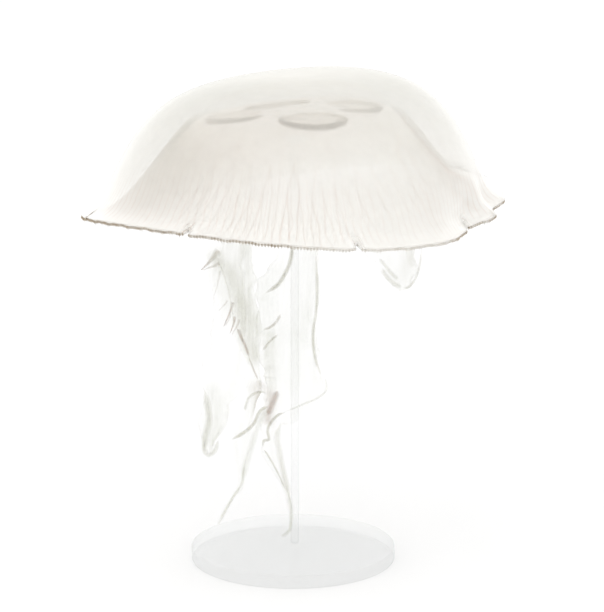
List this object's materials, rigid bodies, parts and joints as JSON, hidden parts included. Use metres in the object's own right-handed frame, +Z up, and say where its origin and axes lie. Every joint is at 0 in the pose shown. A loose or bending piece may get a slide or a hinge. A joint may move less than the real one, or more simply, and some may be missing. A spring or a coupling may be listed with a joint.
{
  "type": "moon jellyfish",
  "caption": "Life-size moon jellyfish with a flared translucent bell, short fringe of tentacles, horseshoe gonads and trailing frilly oral arms, held on a clear stand.",
  "frame": {"origin": "centre of the underside of the display stand's base", "axes": "+Z up; +X to the right and +Y away as the animal is seen from the front, the side of the bell that droops over the arms"},
  "size_m": [0.25, 0.2502, 0.2974],
  "materials": {
    "jelly": "clear, wet jelly with a faint warm milkiness and fine pinkish canals towards the margin",
    "tentacles": "fine short tentacles, pale with brown beads where they join the margin",
    "sense_organ": "tiny dark brown sense organs",
    "gonad": "soft brownish-grey horseshoe rims seen through the jelly",
    "oral_arm": "thin translucent frilly membrane with olive-brown folded edges",
    "clear_acrylic": "polished clear acrylic"
  },
  "bodies": {
    "root": {"bell_crown": "jelly", "bell_lobe_front_right": "jelly", "bell_lobe_right": "jelly", "bell_lobe_back_right": "jelly", "bell_lobe_back": "jelly", "bell_lobe_back_left": "jelly", "bell_lobe_left": "jelly", "bell_lobe_front_left": "jelly", "bell_lobe_front": "jelly", "tentacle_fringe_front_right": "tentacles", "tentacle_fringe_right": "tentacles", "tentacle_fringe_back_right": "tentacles", "tentacle_fringe_back": "tentacles", "tentacle_fringe_back_left": "tentacles", "tentacle_fringe_left": "tentacles", "tentacle_fringe_front_left": "tentacles", "tentacle_fringe_front": "tentacles", "rhopalium_1": "sense_organ", "rhopalium_2": "sense_organ", "rhopalium_3": "sense_organ", "rhopalium_4": "sense_organ", "rhopalium_5": "sense_organ", "rhopalium_6": "sense_organ", "rhopalium_7": "sense_organ", "rhopalium_8": "sense_organ", "gonad_1": "gonad", "gonad_2": "gonad", "gonad_3": "gonad", "gonad_4": "gonad", "manubrium": "oral_arm", "oral_arm_front_left_upper": "oral_arm", "oral_arm_front_left_middle": "oral_arm", "oral_arm_front_left_lower": "oral_arm", "oral_arm_front_left_tail": "oral_arm", "oral_arm_back_right_upper": "oral_arm", "oral_arm_back_right_middle": "oral_arm", "oral_arm_back_right_lower": "oral_arm", "oral_arm_back_right_tail": "oral_arm", "oral_arm_back_left_upper": "oral_arm", "oral_arm_back_left_middle": "oral_arm", "oral_arm_back_left_lower": "oral_arm", "oral_arm_front_right_upper": "oral_arm", "oral_arm_front_right_lower": "oral_arm", "stand_base": "clear_acrylic", "stand_rod": "clear_acrylic", "stand_pad": "clear_acrylic"}
  },
  "joints": []
}
